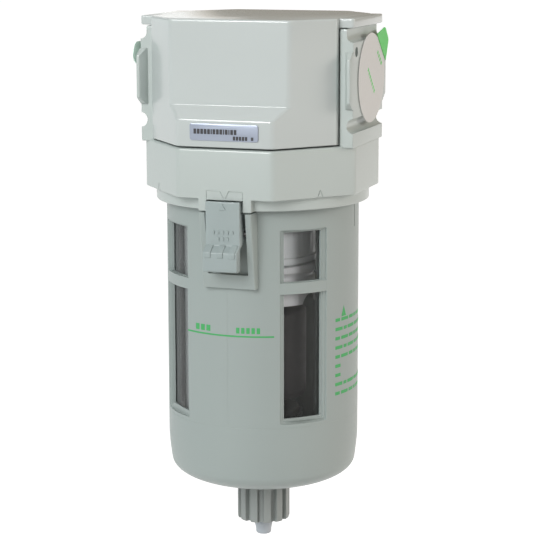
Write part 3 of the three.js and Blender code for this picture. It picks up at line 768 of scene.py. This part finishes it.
def make_baffle():
    """A white disc with a waisted skirt, and the threaded stud that carries the element."""
    low, high = corners("baffle")
    top, bottom = corners("filter_element")[0].z - 0.3, low.z
    skirt = turned([
        (0, top), (21, top, 0.5), (21, top - 2.4, 0.5), (18, -73, 1.2), (20.9, -75.6, 1.2),
        (20.9, bottom, 0.5), (19.4, bottom, 0.3), (19.4, -75.9, 1), (16.4, -73.2, 1), (17.6, top - 3, 0.5),
        (0, top - 3)], 200)
    seat = turned([(0, top - 1), (12, top - 1), (12, top + 3, 0.5), (0, top + 3)], 96)
    major, minor, pitch, z = 2.6, 2.15, 0.7, -34.5
    stud = [(0, top - 1), (major, top - 1), (major, z)]
    while z < -27.8:
        stud += [(major, z), (minor, z + pitch / 2), (major, z + pitch)]
        z += pitch
    join(skirt, seat, lathe(stud + [(2.2, high.z), (0, high.z)], 48))
    for angle in (77, -103):
        notch = prism(circle(5.4, (0, bottom - 1.4)), -25, 0, "y")
        cut(skirt, move(notch, turn(angle)))
    piece(skirt, "element_baffle", "head", "white_nylon", ["baffle"])


# ---- bowl and guard


def bowl_form(inset, top, hole_radius, steps=24):
    """The guard's outer profile, set in; the bowl follows it."""
    edge = Vector((GUARD_RADIUS - 1 - inset, DOME_EDGE + 0.35 * inset))
    corner = Vector((edge.x - 0.9, edge.y - 7 + 0.2 * inset))
    floor = Vector((hole_radius, DOME_BOTTOM + inset))
    rows = [(GUARD_RADIUS - inset, top), (GUARD_RADIUS - inset, TAPER_START + 3)]
    start = Vector((GUARD_RADIUS - inset, TAPER_START + 3))
    middle = Vector((GUARD_RADIUS - inset, TAPER_START - 1))
    for k in range(1, 7):
        t = k / 6
        rows.append(tuple(start * (1 - t) ** 2 + middle * 2 * t * (1 - t) + edge * t * t))
    for k in range(1, steps + 1):
        t = k / steps
        rows.append(tuple(edge * (1 - t) ** 2 + corner * 2 * t * (1 - t) + floor * t * t))
    return rows


def bowl_shell(outer_inset, inner_inset, top, hole_radius, segments=240):
    outer, inner = (bowl_form(inset, top, hole_radius) for inset in (outer_inset, inner_inset))
    return lathe(outer + inner[::-1], segments)


def rod(radius, low, high, edge, segments, steps):
    """A round bar with rounded ends."""
    return turned([(0, low), (radius, low, edge), (radius, high, edge), (0, high)], segments, steps)


def o_ring(radius, section, z, segments):
    profile = [(radius + section * math.cos(a), z + section * math.sin(a))
               for a in (2 * math.pi * k / 16 for k in range(16))]
    return lathe(profile, segments)


def make_o_ring(node, name, body, section, segments):
    low, high = corners(node)
    ring = o_ring(high.x - section, section, (low.z + high.z) / 2, segments)
    piece(ring, name, body, "seal_rubber", [node])


def make_bowl():
    inset = GUARD_WALL + BOWL_GAP
    shell = bowl_shell(inset, inset + BOWL_WALL, BOWL_TOP, 8.3, 128)
    low, high = O_RING_Z - 1.7, O_RING_Z + 1.7
    cut(shell, turned([(30.4, low, 0.3), (60, low), (60, high), (30.4, high, 0.3)], 128))
    piece(shell, "clear_bowl", "bowl_group", "clear_bowl", ["bowl"])
    make_o_ring("bowl_o_ring", "bowl_seal_ring", "bowl_seal", 1.3, 128)


def make_guard():
    guard = bowl_shell(0, GUARD_WALL, GUARD_TOP, 10.6)
    wall = GUARD_RADIUS
    join(guard, lathe(rectangle(wall - 2, wall - 1, GUARD_TOP, GUARD_TOP - 1), 240))
    cuts, bars = [], []
    for back in (PATTERN_TURN, PATTERN_TURN + 180):
        for side in (-1, 1):
            near, far = sorted((back + side * WINDOW_INNER_ANGLE, back + side * WINDOW_OUTER_ANGLE))
            low, high = WINDOW_BOTTOM, WINDOW_TOP
            # two stepped recesses round the window, then its upper and lower openings
            cuts += [
                framed_sector(wall - 0.55, wall + 2, near - 2.5, far + 3.0, low - 1.9, high + 0.9, 0.8, wall),
                framed_sector(wall - 1.0, wall + 2, near - 1.1, far + 1.2, low - 0.8, high + 0.4, 0.5, wall),
                framed_sector(wall - 6, wall + 2, near, far, CROSSBAR_TOP, high, 0.25, wall),
                framed_sector(wall - 6, wall + 2, near, far, low, CROSSBAR_BOTTOM, 0.25, wall)]
            low, high = CROSSBAR_BOTTOM + 0.2, CROSSBAR_TOP - 0.2
            bars.append(sector(wall - 1.6, wall - 0.05, near - 2.8, far + 3.2, low, high))
    cut(guard, *cuts)
    join(guard, *bars)
    for angle in (45, 135, 225, 315):
        lug = sector(wall - 1, 37.2, angle - 9, angle + 9, -38.6, -35.4)
        join(guard, soften(lug, 0.3, 50))
    seam = o_ring(wall + 0.08, 0.14, -124.2, 240)
    slits = [move(block(-0.25, 0.25, -wall - 1, -wall + 0.6, -54.5, -44), turn(a)) for a in (89, -89)]
    mould_line = move(block(-0.1, 0.1, -wall - 1, -wall + 0.06, -123, FRAME_BOTTOM - 0.4), turn(-2))
    cut(guard, seam, *slits, mould_line)
    join(guard, lever_frame())
    top = RING_BOTTOM + 1
    pocket = rounded([(-7.5, top), (7.5, top), (7.5, -67.9, 0.3), (-7.5, -67.9, 0.3)])
    pin_hole = prism(circle(PIN_HOLE, LEVER_PIN[1:], 32), -9.35, 9.35, "x")
    cut(guard, prism(pocket, -FRONT_Y - 1, -wall - 0.15, "y"), pin_hole)
    piece(guard, "guard_shell", "bowl_group", "guard_plastic", ["bowl_guard"])


def lever_frame():
    """The slanted block round the lever."""
    top = RING_BOTTOM - 0.5
    rows = []
    for k in range(13):
        t = k / 12
        z = top + (FRAME_BOTTOM - top) * t
        half = 9.6 + 0.25 * t
        front = -FRONT_Y + 4.1 * t
        back = -GUARD_RADIUS + 2.5
        rows.append([(-half, back, z), (-half, front + 0.35, z), (-half + 0.35, front, z),
                     (half - 0.35, front, z), (half, front + 0.35, z), (half, back, z)])
    inner, low, high = GUARD_RADIUS - 1, FRAME_BOTTOM - 3, top + 3
    inside = lathe([(0, high), (inner, high), (inner, low), (0, low)], 240)
    return cut(loft(rows[::-1]), inside)


def make_lever():
    """The lock lever: a flat tongue, a sloped shoulder with three ribs, and a thick grip."""
    half = 6.3
    side = rounded([
        (-43.4, -41.3, 0.35), (-41.5, -41.3), (-41.5, -45.7), (-40.4, -45.7, 0.2), (-39.3, -51.3),
        (-37.6, -50.9, 1.2), (-35.9, -51.5, 1.0), (-35.8, -54.0, 1.6), (-38.2, -55.3, 1.0),
        (-42.6, -57.9, 0.5), (-42.8, -65.6, 0.6), (-46.5, -65.6, 0.6), (-46.5, -58.8, 0.5),
        (-43.2, -56.7, 0.5)], 4)
    lever = prism(side, -half, half, "x")
    soften(lever, 0.3, 60)
    sweep = lathe([(0, -40), (42.6, -40), (42.6, -45.7), (0, -45.7)], 480)
    bore = prism(circle(PIN_HOLE, LEVER_PIN[1:], 32), -20, 20, "x")
    cut(lever, sweep, bore)
    for x in (-4.5, 0, 4.5):
        rib = prism(rounded([
            (-43.0, -56.2), (-43.5, -56.5, 0.2), (-46.85, -58.65, 0.3), (-46.85, -60.5, 0.2), (-46.0, -60.7),
            (-46.0, -59.0)], 3), x - 1.15, x + 1.15, "x")
        soften(rib, 0.18, 60)
        join(lever, rib)
    triangle = prism(rounded([(-1.25, -44.1, 0.15), (1.25, -44.1, 0.15), (0, -41.95, 0.15)], 3),
                     -43.75, -43.0, "y")
    soften(triangle, 0.08, 60, 1)
    join(lever, triangle)
    width, pitch = 1.0, 1.75
    for z, count in ((-52.6, 5), (-54.9, 3)):
        for k in range(count):
            x = pitch * (k - count / 2) + (pitch - width) / 2
            join(lever, prism(rectangle(x, x + width, z, z + 1.3, 0.2), -43.6, -42.9, "y"))
    piece(lever, "latch_lever", "lever", "lever_plastic", ["lock_lever"])
    low, high = corners("lever_pin")
    pin = rod(1, low.x, high.x, 0.25, 32, 3)
    move(pin, shift(0, LEVER_PIN[1], LEVER_PIN[2]) @ turn(90, "Y"))
    # The pin takes the near-black steel as painted shade, standing in for the shadow in the gap round it
    piece(pin, "latch_pin", "bowl_group", "steel", ["lever_pin"], look="painted_shade_steel")


def coil(radius, wire, z0, z1, turns, steps=28, sides=10):
    """A helical wire with capped ends."""
    rings, points = [], []
    count = round(turns * steps)
    for k in range(count + 1):
        t = k / count
        angle = 2 * math.pi * turns * t
        middle = Vector((radius * math.cos(angle), radius * math.sin(angle), z0 + (z1 - z0) * t))
        outwards = Vector((math.cos(angle), math.sin(angle), 0))
        ring = []
        for side in range(sides):
            a = 2 * math.pi * side / sides
            ring.append(len(points))
            points.append(middle + wire * (math.cos(a) * outwards + math.sin(a) * Vector((0, 0, 1))))
        rings.append(ring)
    return raw(points, loops(rings) + [rings[0][::-1], rings[-1]])


def make_springs():
    low, high = corners("lever_spring")
    spring = coil(2.2, 0.35, 0, 6.6, 4.5)
    move(spring, shift(0, high.y - 0.35, (low.z + high.z) / 2) @ turn(90, "X"))
    piece(spring, "latch_spring", "bowl_group", "copper_wire", ["lever_spring"])
    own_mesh(spring)
    low, high = corners("piston_spring")
    spring = coil(3.2, 0.4, low.z + 0.4, high.z - 0.4, 7)
    piece(spring, "return_spring", "bowl_group", "steel", ["piston_spring"])


# ---- prints on the guard


def make_prints():
    """The level mark and the printed block, with plain bars in place of lettering."""
    base, front = GUARD_RADIUS + 0.01, GUARD_RADIUS + 0.07
    bars = [sector(base, front, -31, 25.3, LEVEL_LINE_Z - 0.28, LEVEL_LINE_Z + 0.28)]

    def line(angle, z, height, lengths, gap, front):
        for length in lengths:
            step = math.degrees(length / GUARD_RADIUS)
            bars.append(sector(base, front, angle, angle + step, z, z + height))
            angle += step + math.degrees(gap / GUARD_RADIUS)

    line(-24.0, LEVEL_LINE_Z + 1.1, 2.2, [1.7] * 3, 0.75, front)
    line(3.2, LEVEL_LINE_Z + 1.1, 2.1, [1.2] * 5, 0.65, front)
    for row in range(9):
        lengths = [4.2, 2.0, 5.0, 3.0, 4.4, 2.4] if row % 2 else [2.6, 4.6, 3.4, 2.0, 5.4]
        if row in (5, 6):
            lengths = [3.0]
        line(66.5, -87.6 - 3.4 * row, 1.2, lengths, 0.9, GUARD_RADIUS + 0.06)
    bars.append(loft([
        [polar(72.2, r, -86.0), polar(77.0, r, -86.0), polar(74.6, r, -82.2)]
        for r in (GUARD_RADIUS - 0.05, GUARD_RADIUS + 0.08)]))
    piece(merged(bars), "guard_prints", "bowl_group", "guard_plastic", look="green_print")


# ---- the automatic drain

pin_low, pin_high = corners("float_lever_pin")
ARM_PIN_X = (pin_low.x + pin_high.x) / 2
ARM_PIN_Z = (pin_low.z + pin_high.z) / 2


def arm_pin_bore():
    return prism(circle(0.7, (ARM_PIN_X, ARM_PIN_Z), 24), -6, 6, "y")


def make_drain_body():
    top = corners("drain_housing")[1].z
    body = turned([
        (0, top - 4.2), (7.8, top - 4.2, 0.5), (7.8, -124, 0.6), (13.4, -124, 0.8), (13.4, -145.6, 0.4),
        (11.7, -145.6), (11.7, -143.8), (9.5, -143.8), (9.5, -145.6), (7.9, -145.6), (7.9, -152.1),
        (6.4, -152.1), (6.4, -158.2), (5.4, -158.2), (5.4, -160.2), (6.4, -160.2), (6.4, -163, 0.4),
        (0, -163)], 128)
    near, far = ARM_PIN_X - 1.4, ARM_PIN_X + 1.4
    for y0, y1 in ((-3.4, -1.6), (1.6, 3.4)):
        ear = rounded([(near, top - 5), (far, top - 5), (far, top, 1.2), (near, top, 1.2)])
        join(body, prism(ear, y0, y1, "y"))
    bore = lathe([(0, -141), (5, -141), (5, -102), (1.9, -102), (1.9, -90), (0, -90)], 64)
    stem = prism(circle(1.7, segments=32), -170, -140)
    outlet = prism(circle(3.4), -170, -150)
    cut(body, bore, stem, outlet, arm_pin_bore())
    for angle in (0, 60, 120):
        inlet = prism(circle(2.4, (0, -134), 32), -20, 20, "x")
        cut(body, move(inlet, turn(angle)))
    piece(body, "drain_body", "bowl_group", "grey_nylon", ["drain_housing"])
    make_o_ring("housing_o_ring", "drain_body_seal", "bowl_group", 0.8, 96)
    make_o_ring("knob_o_ring", "knob_seal", "bowl_group", 0.5, 96)


def make_nut():
    low, high = corners("drain_retaining_nut")
    nut = turned([(8.2, low.z, 0.2), (10.2, low.z, 0.4), (10.2, high.z, 0.4), (8.2, high.z, 0.2)], 96, 3)
    for angle in (0, 90):
        cut(nut, move(block(-20, 20, -1.2, 1.2, low.z - 1, low.z + 0.8), turn(angle)))
    piece(nut, "ring_nut", "bowl_group", "grey_nylon", ["drain_retaining_nut"])


def make_screen():
    low, high = corners("drain_strainer")
    screen = lathe(rectangle(13.9, 14.9, low.z, high.z, 0.2, 2), 144)
    rows, border = 5, 2.3
    for row in range(rows):
        z = low.z + border + row * (high.z - low.z - 2 * border) / (rows - 1)
        for k in range(9):
            hole = prism(circle(0.95, (0, z), 12), -20, 20, "x")
            cut(screen, move(hole, turn(k * 20 + (10 if row % 2 else 0))))
    piece(screen, "drain_screen", "bowl_group", "steel", ["drain_strainer"])


def make_float():
    low, high = heights("float")
    cup = turned([
        (0, high), (16, high, 1.2), (16, low + 2, 0.3), (15.6, low, 0.3), (8.6, low, 0.5),
        (8.6, high - 2.6, 1), (0, high - 2.6)], 160)
    cut(cup, block(8, 11.5, -1.8, 1.8, ARM_PIN_Z - 1.5, ARM_PIN_Z + 1.3))
    piece(cup, "float_foam_cup", "float_cup", "float_foam", ["float"])


def make_float_arm():
    outline = rounded([(ARM_PIN_X, -1.3, 0.4), (10.5, -1.3, 0.6), (10.5, 1.3, 0.6), (ARM_PIN_X, 1.3, 0.4)])
    arm = prism(outline, ARM_PIN_Z - 0.6, ARM_PIN_Z + 0.6)
    boss = prism(circle(1.3, (ARM_PIN_X, ARM_PIN_Z), 32), -1.3, 1.3, "y")
    pad = prism(circle(1.5, segments=32), ARM_PIN_Z - 1.2, ARM_PIN_Z)
    join(arm, boss, pad)
    cut(arm, arm_pin_bore())
    piece(arm, "pilot_arm", "float_arm", "white_nylon", ["float_lever"])
    pin = rod(0.5, pin_low.y, pin_high.y, 0.15, 24, 2)
    move(pin, shift(ARM_PIN_X, 0, ARM_PIN_Z) @ turn(90, "X"))
    piece(pin, "pilot_arm_pin", "bowl_group", "steel", ["float_lever_pin"])


def make_valve():
    """The pilot jet under the arm, and the piston with its seal."""
    low, high = heights("pilot_valve_seat")
    jet = turned([
        (0.5, low), (1.6, low, 0.15), (1.6, -96.7), (2.6, -96.7, 0.1), (2.6, -96.4, 0.1), (1.0, high, 0.1),
        (0.5, high)], 48, 2)
    piece(jet, "pilot_jet", "bowl_group", "brass", ["pilot_valve_seat"])
    low, high = heights("drain_piston")
    piston = turned([
        (0, high), (4.6, high, 0.3), (4.6, -110.4, 0.15), (3.4, -110.4), (3.4, -113), (4.6, -113, 0.15),
        (4.6, -115.4, 0.3), (1.4, -115.4, 0.3), (1.4, low, 0.4), (0, low)], 64, 3)
    piece(piston, "drain_plunger", "piston", "brass", ["drain_piston"])
    make_o_ring("piston_seal", "piston_ring", "piston", 0.55, 64)


# ---- knob and nozzle


def make_knob():
    """A knob with flat-bottomed flutes that slope out under its top rim and run through the foot."""
    low, high = corners("drain_knob")
    top, bottom, radius = high.z, low.z, high.x
    segments, depth, bore, neck, roof = 360, 1.7, 3.7, 7, bottom + 4
    pitch, first, half_rib = 30, 12, 8.4
    outer = rounded([
        (neck, top), (radius, top, 0.35), (radius, bottom, 0.55), (bore, bottom, 0.2), (bore, top)], 4)[1:-1]
    rows = []
    for (r, z), (next_r, next_z) in zip(outer, outer[1:]):
        steps = max(1, math.ceil(abs(next_z - z) / 0.6))
        rows += [(r + (next_r - r) * k / steps, z + (next_z - z) * k / steps) for k in range(steps)]
    rows.append(outer[-1])
    points, rings = [], []
    for r, z in rows + [(bore, roof), (neck, roof), (neck, top)]:
        ring = []
        floor = radius - depth * min(1, max(0, (top - 1.7 - z) / 0.9))
        for k in range(segments):
            angle = 2 * math.pi * k / segments
            phase = abs((math.degrees(angle) - first) % pitch - pitch / 2)
            wall = min(1, max(0, (phase - half_rib) / 1.0))
            here = min(r, radius - (radius - floor) * wall) if r > 6 and z < top - 0.3 else r
            ring.append(len(points))
            points.append((here * math.sin(angle), -here * math.cos(angle), z))
        rings.append(ring)
    knob = raw(points, loops(rings, closed=True))
    piece(knob, "fluted_knob", "knob", "knob_plastic", ["drain_knob"], 30)


def make_nozzle():
    low, high = heights("drain_nozzle")
    nozzle = turned([
        (1.4, high), (3.1, high, 0.2), (3.5, low + 4.6, 1.6), (2.95, low + 1.9, 1.4), (2.85, low + 0.1, 0.9),
        (1.5, low, 0.3)], 96, 6)
    piece(nozzle, "outlet_nozzle", "bowl_group", "nozzle_plastic", ["drain_nozzle"])


# ---- stage, lights and camera


def make_stage():
    """A pale floor far below, and a studio round it: brighter to the left, with a dark wall behind."""
    size, floor_z = 60000, -520
    floor = raw([(x, y, floor_z) for x, y in rectangle(-size, size, -size, size)], [(0, 1, 2, 3)])
    floor.name = "floor"
    paper = Look("floor_paper", (0.6, 0.6, 0.6), 0.9, Emission_Color=(1, 1, 1, 1), Emission_Strength=0.82)
    paper.tint(3, 0.004, 2)
    floor.data.materials.append(LOOKS["floor_paper"])
    floor.visible_diffuse = False
    world = bpy.data.worlds.new("studio")
    bpy.context.scene.world = world
    world.use_nodes = True
    tree = world.node_tree
    ray = add_node(tree, "TexCoord").outputs["Generated"]

    def towards(direction, low, high, from_value, to_value):
        """A level that goes from one value to another as a ray nears a direction."""
        inputs = {0: ray, 1: Vector(direction).normalized()}
        dot = add_node(tree, "VectorMath", inputs, operation="DOT_PRODUCT")
        return add_node(tree, "MapRange", {
            "From Min": low, "From Max": high, "To Min": from_value, "To Max": to_value,
            "Value": dot.outputs["Value"]}).outputs["Result"]

    def maths(operation, a, b):
        return add_node(tree, "Math", {0: a, 1: b}, operation=operation).outputs["Value"]

    def blend_colors(factor, first, second):
        inputs = {"Factor": factor, "A": first, "B": second}
        return add_node(tree, "Mix", inputs, data_type="RGBA").outputs["Result"]

    up, away = (0, 0, 1), (0, 1, 0)
    right_end = (math.cos(math.radians(21)), math.sin(math.radians(21)), 0)
    wall = maths("MULTIPLY", towards(away, 0.6, 0.75, 0, 1), towards(up, 0.38, 0.5, 1, 0))
    wall = maths("MULTIPLY", wall, towards(right_end, -0.01, 0.01, 0, 1))
    sides = blend_colors(towards((1, 0.3, 0), -0.7, 0.9, 0, 1), (0.95, 1, 1, 1), (0.92, 0.83, 0.77, 1))
    background = tree.nodes["Background"]
    tree.links.new(blend_colors(wall, sides, (0.9, 0.76, 0.58, 1)), background.inputs["Color"])
    horizon = maths("MULTIPLY", towards(up, 0.03, 0.09, 0.9, 0), towards(up, -0.08, -0.04, 0, 1))
    beyond = maths("ADD", towards(away, 0.5, 0.85, 0, 0.5), horizon)
    glow = maths("MULTIPLY", beyond, maths("SUBTRACT", 1, wall))
    around = maths("ADD", towards((0, 0, -1), 0, 0.6, 0, 0.3), towards((-0.6, -0.7, 0.3), -1, 1, 0.25, 0.40))
    tree.links.new(maths("ADD", around, glow), background.inputs["Strength"])


def area_light(name, location, size, power, color=(1, 1, 1)):
    light = bpy.data.lights.new(name, "AREA")
    light.shape = "RECTANGLE"
    light.size, light.size_y = size[0] * MM, size[1] * MM
    light.energy = power
    light.color = color
    lamp = add_object(name, light)
    lamp.location = Vector(location) * MM
    aim = Vector((0, 0, -60)) - Vector(location)
    lamp.rotation_euler = aim.to_track_quat("-Z", "Y").to_euler()
    return lamp


def make_lights():
    area_light("key_light", (-300, -1550, 720), (800, 800), 17.3)
    area_light("side_light", (1500, 420, 400), (700, 700), 10.5, (1, 0.93, 0.87))
    area_light("overhead_light", (-150, 0, 1500), (1300, 1300), 4)
    window_light = area_light("window_light", (1300, -800, 330), (420, 300), 7.5)
    inside = bpy.data.collections.new("inside")
    for name in ("element_media", "element_baffle"):
        inside.objects.link(bpy.data.objects[name])
    window_light.light_linking.receiver_collection = inside
    glint = area_light("edge_light", (-510, -1270, 830), (800, 800), 18)
    glint.visible_diffuse = False


def make_camera():
    """The camera: a long lens, 19 degrees round to the outlet side and looking a little down."""
    azimuth, heading, pitch, roll = 19.0, 18.79, 10.49, -0.1
    distance, height = 700.2, 56.8
    data = bpy.data.cameras.new("camera")
    data.lens = 128.07
    data.sensor_width = 36
    data.clip_end = 200
    camera = add_object("camera", data)
    stand = turn(azimuth) @ shift(0, -distance, height)
    aim = turn(heading) @ turn(90 - pitch, "X") @ turn(roll)
    camera.matrix_world = Matrix.Translation(stand.translation) @ aim
    bpy.context.scene.camera = camera


make_top_cover()
make_body_casting()
make_name_plate()
make_stickers()
make_louver()
make_element()
make_baffle()
make_bowl()
make_guard()
make_lever()
make_springs()
make_prints()
make_drain_body()
make_nut()
make_screen()
make_float()
make_float_arm()
make_valve()
make_knob()
make_nozzle()

make_camera()
make_stage()
make_lights()
bpy.context.scene.view_settings.view_transform = "Standard"
